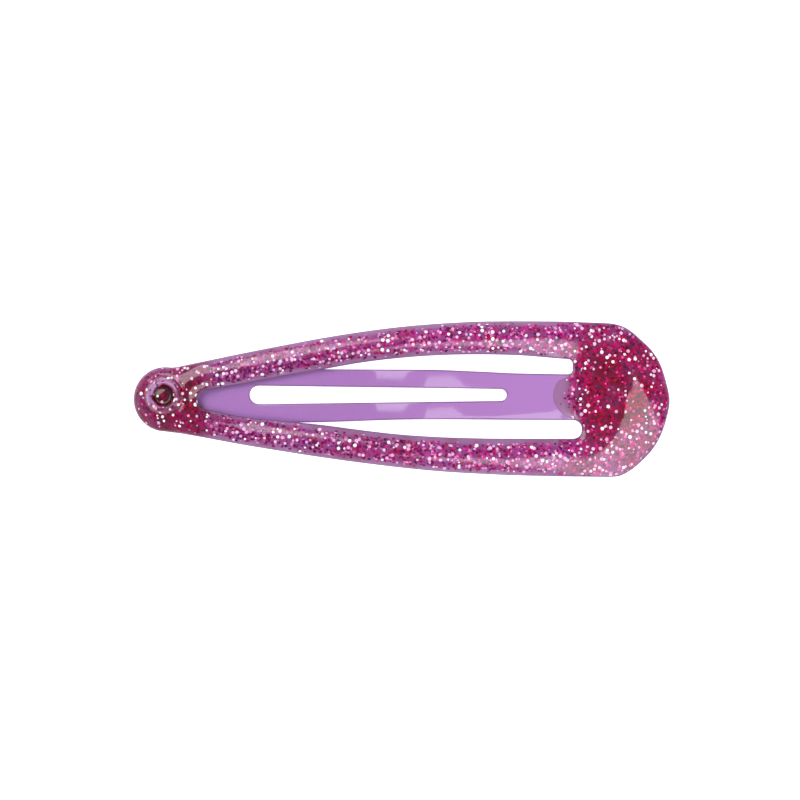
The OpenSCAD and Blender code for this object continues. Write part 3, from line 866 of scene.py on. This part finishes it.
# The pour of resin. Radii are from the eyelet's cover, a raised ring round a pit.
pour = {
    "thickness": [(-25.0, 3.1), (-20.5, 2.25), (-17.5, 2.75), (-12.0, 3.2), (11.0, 3.2),
                  (14.0, 2.25), (16.5, 1.15), (20.0, 0.98), (25.0, 1.0)],  # x, if never drawn down
    "drawn": 2.2,  # how far from its edge surface tension draws the resin down
    "lip": 0.08,  # bare steel outside the resin
    "edge": 0.05,
    "hem": 0.06,  # the edge reaches this far into the enamel
    "bowReach": 1.85,
    "film": 0.06,  # share of the thickness at the bow
    "filmOver": (0.0, 4.4),  # from the bow
    "legOver": (2.6, 5.2),  # from the tongue's middle line
    "tabSkew": 0.5,  # the step between the tabs lies a little aslant
    "spreadPast": (1.6, 2.4),  # the surface carries the step on to the left and the right
    "spacing": 0.2,
    "ringSpacing": 0.1,  # over the eyelet, where the resin curves most
    "ringTo": 1.95,
    "coverX": discX - 0.13,
    "ring": 0.22,
    "ringOver": (1.74, 1.36),
    "pit": 0.58,
    "pitOver": (1.16, 0.68),
    "levelOver": (0.9, 0.6),  # the pit's floor is level
    "moat": 0.09,
    "moatAt": 1.86,
    "moatWidth": 0.2,
    "crestOver": (0.92, 1.06, 1.46, 1.66),  # begins, is full, is full, ends
    "crestDull": 0.2,  # share of its pale tint on its lower right side, away from the painted highlight
    "crestBare": 0.8,  # share of the glitter that slid off it, most on the side of the painted highlight
    "holeRed": (1.14, 0.88),
    # where the painted shade in the hole begins and where it is full
    "holeShade": (1.06, 0.82),
    "rimOver": (0.02, 0.62),  # from the edges of a leg's resin to where it is full of glitter
    "bowOver": (0.5, 2.0),
    "redAll": 0.08,
    "redCentre": (19.0, 0.6),
    "redReach": (2.9, 6.0),  # toward the tip and away from it
    "redAcross": 5.8,
    "paleUnderReflection": 0.42,  # less red past the line where the outer lower part of the wide end turns down toward the lower right softbox: a painted highlight
    "tipRed": (0.36, 0.38),  # everywhere round the tip, and more on its lower right side
}
# The resin's edge across the tongue: place from its upper to its lower edge, share of the reach.
bowRows = [(0.055, 0.285), (0.165, 0.79), (0.385, 1.00), (0.64, 0.96), (0.87, 0.56), (0.97, 0.07)]
bowPoints = []
for place, out in bowRows:
    x = clip["upperGap"] - out * pour["bowReach"]
    top, bottom = float(tongueUpper(x)), float(tongueLower(x))
    bowPoints.append((x, top + place * (bottom - top)))
bow = curveThrough(bowPoints, 8)
innerLoop = evenRun(
    np.vstack([
        arc(forkX, forkY, forkRadius, forkRadius, 270, 90, 20),
        upperInnerRun,
        upperGapEnd,
        bow,
        lowerGapEnd,
        lowerInnerRun,
    ]),
    innerStep,
    closed=True,
)
# The resin's own edges, set back a little from the sheet's.
coatOuter = outerLoop + leftNormals(outerLoop, True) * pour["lip"]
coatInner = innerLoop + leftNormals(innerLoop, True) * pour["lip"]


def fromCoatEdge(points):
    return np.minimum(distanceTo(points, coatOuter, True), distanceTo(points, coatInner, True))


def fromCover(points):
    return np.hypot(points[:, 0] - pour["coverX"], points[:, 1] - eyelet["y"])


# The resin's points and triangles seen from above, closer together at its edges and over the
# eyelet, where it curves most.
def coatPlan():
    rings = []
    for e in (0.03, 0.08, 0.15, 0.25, 0.38):
        for loop in (coatOuter, coatInner):
            ring = loop + leftNormals(loop, True) * e
            rings.append(ring[fromCoatEdge(ring) > 0.85 * e])
    for r in np.arange(pour["ringSpacing"], pour["ringTo"], pour["ringSpacing"]):
        count = max(8, int(2 * math.pi * r / 0.12))
        rings.append(arc(pour["coverX"], eyelet["y"], r, r, 0, 360, count)[:-1])

    def clear(points):
        return (fromCoatEdge(points) > 0.48) & (fromCover(points) > pour["ringTo"] + 0.03)

    return fillPlan([coatOuter, coatInner], pour["spacing"], np.vstack(rings), clear)


# The shape a poured resin takes: level where it lies wide, and drawn down to its edge by
# surface tension. The heights are found by conjugate gradients.
def pooled(flat, triangles, held, target):
    corners, count = np.array([tuple(f) for f in triangles]), len(flat)
    first, second, weight, area = [], [], [], np.zeros(count)
    for k in range(3):
        i, j, o = corners[:, k], corners[:, (k + 1) % 3], corners[:, (k + 2) % 3]
        a, b = flat[i] - flat[o], flat[j] - flat[o]
        cross = np.abs(a[:, 0] * b[:, 1] - a[:, 1] * b[:, 0])
        pull = np.clip((a * b).sum(axis=1) / np.maximum(cross, 1e-6), 0, 4) / 2
        first += [i, j]
        second += [j, i]
        weight += [pull, pull]
        area += np.bincount(o, cross / 6, count)
    first, second, weight = np.concatenate(first), np.concatenate(second), np.concatenate(weight)
    total = np.bincount(first, weight, count)

    def balance(h):
        spread = total * h - np.bincount(first, weight * h[second], count)
        return area * h + pour["drawn"] ** 2 * spread

    height = np.where(held, pour["edge"], target)
    left = np.where(held, 0, area * target - balance(height))
    step, size = left.copy(), left @ left
    for _ in range(600):
        moved = np.where(held, 0, balance(step))
        rate = size / (step @ moved)
        height += rate * step
        left -= rate * moved
        now = left @ left
        if now < 1e-14:
            break
        step = left + now / size * step
        size = now
    return height


# Height of the resin over the sheet, with the ring over the eyelet and the pit in its hole.
# It thins out to a film at the bow on the tongue's root.
def coatHeight(flat, triangles, near):
    x, y = flat[:, 0], flat[:, 1]
    rows = np.array(pour["thickness"])
    onLeg = smoothShare(*pour["legOver"], np.abs(y - tongue["centre"]))
    fromBow = smoothShare(*pour["filmOver"], distanceTo(flat, bow, False))
    full = np.maximum(pour["film"] + (1 - pour["film"]) * fromBow, onLeg)
    height = pooled(flat, triangles, near < 1e-5, full * np.interp(x, rows[:, 0], rows[:, 1]))
    r = fromCover(flat)
    ring = pour["ring"] * smoothShare(*pour["ringOver"], r)
    pit = pour["pit"] * smoothShare(*pour["pitOver"], r)
    moat = pour["moat"] * np.exp(-(((r - pour["moatAt"]) / pour["moatWidth"]) ** 2))
    level = smoothShare(*pour["levelOver"], r) * (archZ(pour["coverX"]) - archZ(x))
    return height + ring - pit - moat + level


# The resin's edge follows the step between the tabs, and its surface spreads that step over
# a longer run.
def coatSeat(flat, near=0.0):
    x, y = flat[:, 0], flat[:, 1]
    sharp = stepShare(x + pour["tabSkew"] * smoothShare(0.5, -1.5, y))
    left, right = pour["spreadPast"]
    spread = smoothShare(stepEndX + clip["stepLength"] + right, stepEndX - left, x)
    step = sharp + (spread - sharp) * smoothShare(0.0, 0.9, near)
    return archZ(x) + clip["sheet"] + (clip["sheet"] + clip["pieceGap"]) * step


# What the material reads at each point: how full of glitter, how red it is, how pale with a painted
# highlight, and how much painted shade it has in the eyelet's hole.
def coatShares(flat):
    x, y = flat[:, 0], flat[:, 1]
    rightOf, above = x - pour["coverX"], y - eyelet["y"]
    r = fromCover(flat)
    # Painted highlight: the crest's pale tint, and the glitter that left it, lean to its upper left
    # side.
    lit = smoothShare(-0.9, 0.5, (above - 0.6 * rightOf) / np.maximum(r, 0.01))
    turn = np.arctan2(above, rightOf)
    r = r + 0.07 * np.sin(3 * turn + 1.0) + 0.05 * np.sin(7 * turn)  # an uneven crest and pit
    start, full, fullTo, stop = pour["crestOver"]
    lit = pour["crestDull"] + (1 - pour["crestDull"]) * lit
    crestAndHighlight = smoothShare(start, full, r) * smoothShare(stop, fullTo, r) * lit
    # Glitter drew away from the legs' edges and from the bow.
    onLegs = smoothShare(-12.0, -7.0, x)
    shift = np.where(y < 0, 0.16 - 0.3 * onLegs, 0.06 - 0.06 * onLegs)
    bare = np.minimum(distanceTo(flat, coatOuter, True), distanceTo(flat, coatInner, True) + shift)
    atEnds = np.abs(x + 2.5) > 17.0
    rim = np.where(
        atEnds, smoothShare(-0.15, 0.3, fromCoatEdge(flat)), smoothShare(*pour["rimOver"], bare)
    )
    fromBow = smoothShare(*pour["bowOver"], distanceTo(flat, bow[10:-10], False))
    glitter = rim * fromBow * (1 - pour["crestBare"] * crestAndHighlight)
    # Red foil gathered in the middle of the wide end, round the tip and in the eyelet's hole.
    redX, redY = pour["redCentre"]
    reach = np.where(x < redX, *pour["redReach"])
    away = np.abs((x - redX) / reach) ** 2.6 + np.abs((y - redY) / pour["redAcross"]) ** 2.6
    # Painted highlight: the wide end is paler past the edge of the lower right softbox's
    # reflection.
    reflectionSide = smoothShare(0.0, 2.4, 0.86 * (x - 19.0) - 0.51 * (y + 4.6))
    wide = np.exp(-away) * (1 - pour["paleUnderReflection"] * reflectionSide * smoothShare(24.3, 23.0, x))
    side = smoothShare(-1.2, 1.2, 0.6 * (rightOf - above))
    tip = (pour["tipRed"][0] + pour["tipRed"][1] * side) * smoothShare(-16.5, -19.5, x)
    hole = smoothShare(*pour["holeRed"], r)
    red = np.clip(pour["redAll"] + tip * (1 - crestAndHighlight) + wide + hole, 0, 1)
    return {
        "glitterShare": glitter,
        "redShare": red,
        "paleAndHighlightShare": crestAndHighlight,
        "pitShadeShare": smoothShare(*pour["holeShade"], r),
    }


def makeCoat():
    flat, triangles = coatPlan()
    near = fromCoatEdge(flat)
    height = coatSeat(flat, near) + coatHeight(flat, triangles, near)
    points = [np.column_stack([flat, height])]
    faces = [tuple(f) for f in triangles]
    count = len(flat)
    for loop in (coatOuter, coatInner):
        n = len(loop)
        for z in (coatSeat(loop) + pour["edge"], coatSeat(loop) - pour["hem"]):
            points.append(np.column_stack([loop, z]))
        for i in range(n):
            j = (i + 1) % n
            faces.append((count + i, count + n + i, count + n + j, count + j))
        count += 2 * n
    points, faces, _ = weld(np.vstack(points), faces)
    return makeMesh("resinCoat", points, faces, glitterEpoxy, coatShares(points[:, :2]))


coat = makeCoat()
print("resin made", len(coat.data.polygons))


# A rolled eyelet: a tube with a lip at each end, turned round its own axis and set square on
# the tabs.
def makeEyelet():
    low = -clip["pieceGap"] - eyelet["lip"]
    high = 2 * clip["sheet"] + 2 * clip["pieceGap"]
    hole, tube, flange, lip = (
        eyelet["hole"], eyelet["hole"] + eyelet["wall"], eyelet["flange"], eyelet["lip"]
    )
    profile = np.array([
        (hole, high), (hole, low + 0.16), (hole + 0.04, low + 0.07), (hole + 0.14, low + 0.01),
        (hole + 0.3, low), (flange - 0.22, low + 0.01), (flange - 0.08, low + 0.05),
        (flange, low + 0.13), (flange - 0.04, low + lip), (tube + 0.05, low + lip),
        (tube, low + lip + 0.03), (tube, high - 0.03), (tube + 0.05, high),
        (flange - 0.04, high), (flange, high + 0.09), (flange - 0.1, high + 0.19),
        (hole + 0.3, high + lip), (hole + 0.08, high + 0.17),
    ])
    steps, n = 64, len(profile)
    turn = np.linspace(0, 2 * math.pi, steps, endpoint=False)
    points = np.array([[r * math.cos(a), r * math.sin(a), z] for a in turn for r, z in profile])
    faces = []
    for i in range(steps):
        for j in range(n):
            a, b = i * n, ((i + 1) % steps) * n
            k = (j + 1) % n
            faces.append((a + j, b + j, b + k, a + k))
    lean = math.atan(2 * archSteep * (apexX - discX))
    along = points[:, 0] + eyelet["x"] - discX
    x = discX + along * math.cos(lean) - points[:, 2] * math.sin(lean)
    z = float(archZ(discX)) + along * math.sin(lean) + points[:, 2] * math.cos(lean)
    y = points[:, 1] + eyelet["y"]
    return makeMesh("rolledEyelet", np.column_stack([x, y, z]), faces, eyeletPaint)


ring = makeEyelet()
print("eyelet made")

# Motion: the eyelet rides on the arms and the tongue on the base. The frame's sheets, with the wide
# end, and the resin stay where they are built.
for piece in (upperFrame, lowerFrame, coat):
    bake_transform(piece)
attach(tongueBlade, "base")
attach(ring, "arms")
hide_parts("tongue_plate")
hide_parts("upper_leg")
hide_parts("lower_leg")
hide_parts("end_coat", "leg_coat")
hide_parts("eyelet")
print("pieces on their bodies")

# The studio, in metres: a white paper sweep, and two large softboxes beside the camera, at the
# upper left and the lower right, as the photo's reflections show.
studio = {
    "sweep": "#EFEFEF",
    "sweepGlow": 0.8,
    "sweepZ": -0.02,  # mm, just under the clip
    "sweepRings": (40, 120, 400, 1500, 4000),  # mm
    "distance": 0.7,
    "boxes": [
        {"name": "softboxUpperLeft", "azimuth": 130, "lean": 36, "size": (0.44, 0.50),
         "shift": 0.05, "radiance": 4.7},
        {"name": "softboxLowerRight", "azimuth": -49, "lean": 35, "size": (0.44, 0.605),
         "shift": 0.075, "radiance": 4.0},
    ],
    "zenith": 0.16,  # strength of the room's light from above and from the sides
    "horizon": 0.95,
}


# Uncoated white paper: matt, with no gloss to see. Its glow keeps it white in the picture.
def makeFloor():
    material = newMaterial("whiteSweep")
    tree = material.node_tree
    shader = addNode(tree, "BsdfPrincipled", {
        "Base Color": studio["sweep"],
        "Roughness": 0.9,
        "Specular IOR Level": 0.1,
        "Emission Color": "#FFFFFF",
        "Emission Strength": studio["sweepGlow"],
    })
    addNode(tree, "OutputMaterial", {"Surface": shader})
    steps = 64
    points = [(0, 0, studio["sweepZ"])]
    for r in studio["sweepRings"]:
        for i in range(steps):
            a = 2 * math.pi * i / steps
            points.append((r * math.cos(a), r * math.sin(a), studio["sweepZ"]))
    faces = [(0, 1 + i, 1 + (i + 1) % steps) for i in range(steps)]
    for k in range(len(studio["sweepRings"]) - 1):
        for i in range(steps):
            a, b = 1 + k * steps + i, 1 + k * steps + (i + 1) % steps
            faces.append((a, a + steps, b + steps, b))
    makeMesh("studioFloor", points, faces, material)


def makeSoftbox(box):
    light = bpy.data.lights.new(box["name"], "AREA")
    light.shape = "RECTANGLE"
    light.size, light.size_y = box["size"]
    light.energy = box["radiance"] * math.pi * box["size"][0] * box["size"][1]
    lamp = bpy.data.objects.new(box["name"], light)
    bpy.context.scene.collection.objects.link(lamp)
    a, lean = math.radians(box["azimuth"]), math.radians(box["lean"])
    away = Vector((math.cos(a) * math.sin(lean), math.sin(a) * math.sin(lean), math.cos(lean)))
    across = Vector((-math.sin(a), math.cos(a), 0))  # the box's long side runs this way
    down = across.cross(away)
    lamp.location = away * studio["distance"] + across * box["shift"]
    lamp.rotation_mode = "QUATERNION"
    lamp.rotation_quaternion = Matrix((down, across, away)).transposed().to_quaternion()
    lamp.visible_camera = False


def makeRoom():
    world = bpy.data.worlds.new("studioWorld")
    bpy.context.scene.world = world
    world.use_nodes = True
    tree = world.node_tree
    tree.nodes.clear()
    up = addNode(tree, "SeparateXYZ", {"Vector": addNode(tree, "TexCoord").outputs["Generated"]})
    strength = addNode(
        tree,
        "MapRange",
        {
            "Value": up.outputs["Z"],
            "From Min": 0.05,
            "From Max": 0.55,
            "To Min": studio["horizon"],
            "To Max": studio["zenith"],
        },
        interpolation_type="SMOOTHSTEP",
    )
    sky = addNode(tree, "Background", {"Color": "#FFFFFF", "Strength": strength})
    addNode(tree, "OutputWorld", {"Surface": sky})


makeFloor()
for box in studio["boxes"]:
    makeSoftbox(box)
makeRoom()

# The photo looks straight down from far off.
shot = {
    "lens": 200,
    "sensor": 36,
    "across": 74.45,  # mm of the scene in the picture's width
    "focusZ": 1.5,
    "centre": (-0.17, -0.07),
}
camera = bpy.data.cameras.new("camera")
camera.lens, camera.sensor_width = shot["lens"], shot["sensor"]
camera.clip_start, camera.clip_end = 0.01, 20
view = bpy.data.objects.new("camera", camera)
bpy.context.scene.collection.objects.link(view)
viewZ = shot["across"] * shot["lens"] / shot["sensor"] + shot["focusZ"]
view.location = (shot["centre"][0] * mm, shot["centre"][1] * mm, viewZ * mm)
bpy.context.scene.camera = view
bpy.context.scene.view_settings.view_transform = "Standard"
print("studio made")
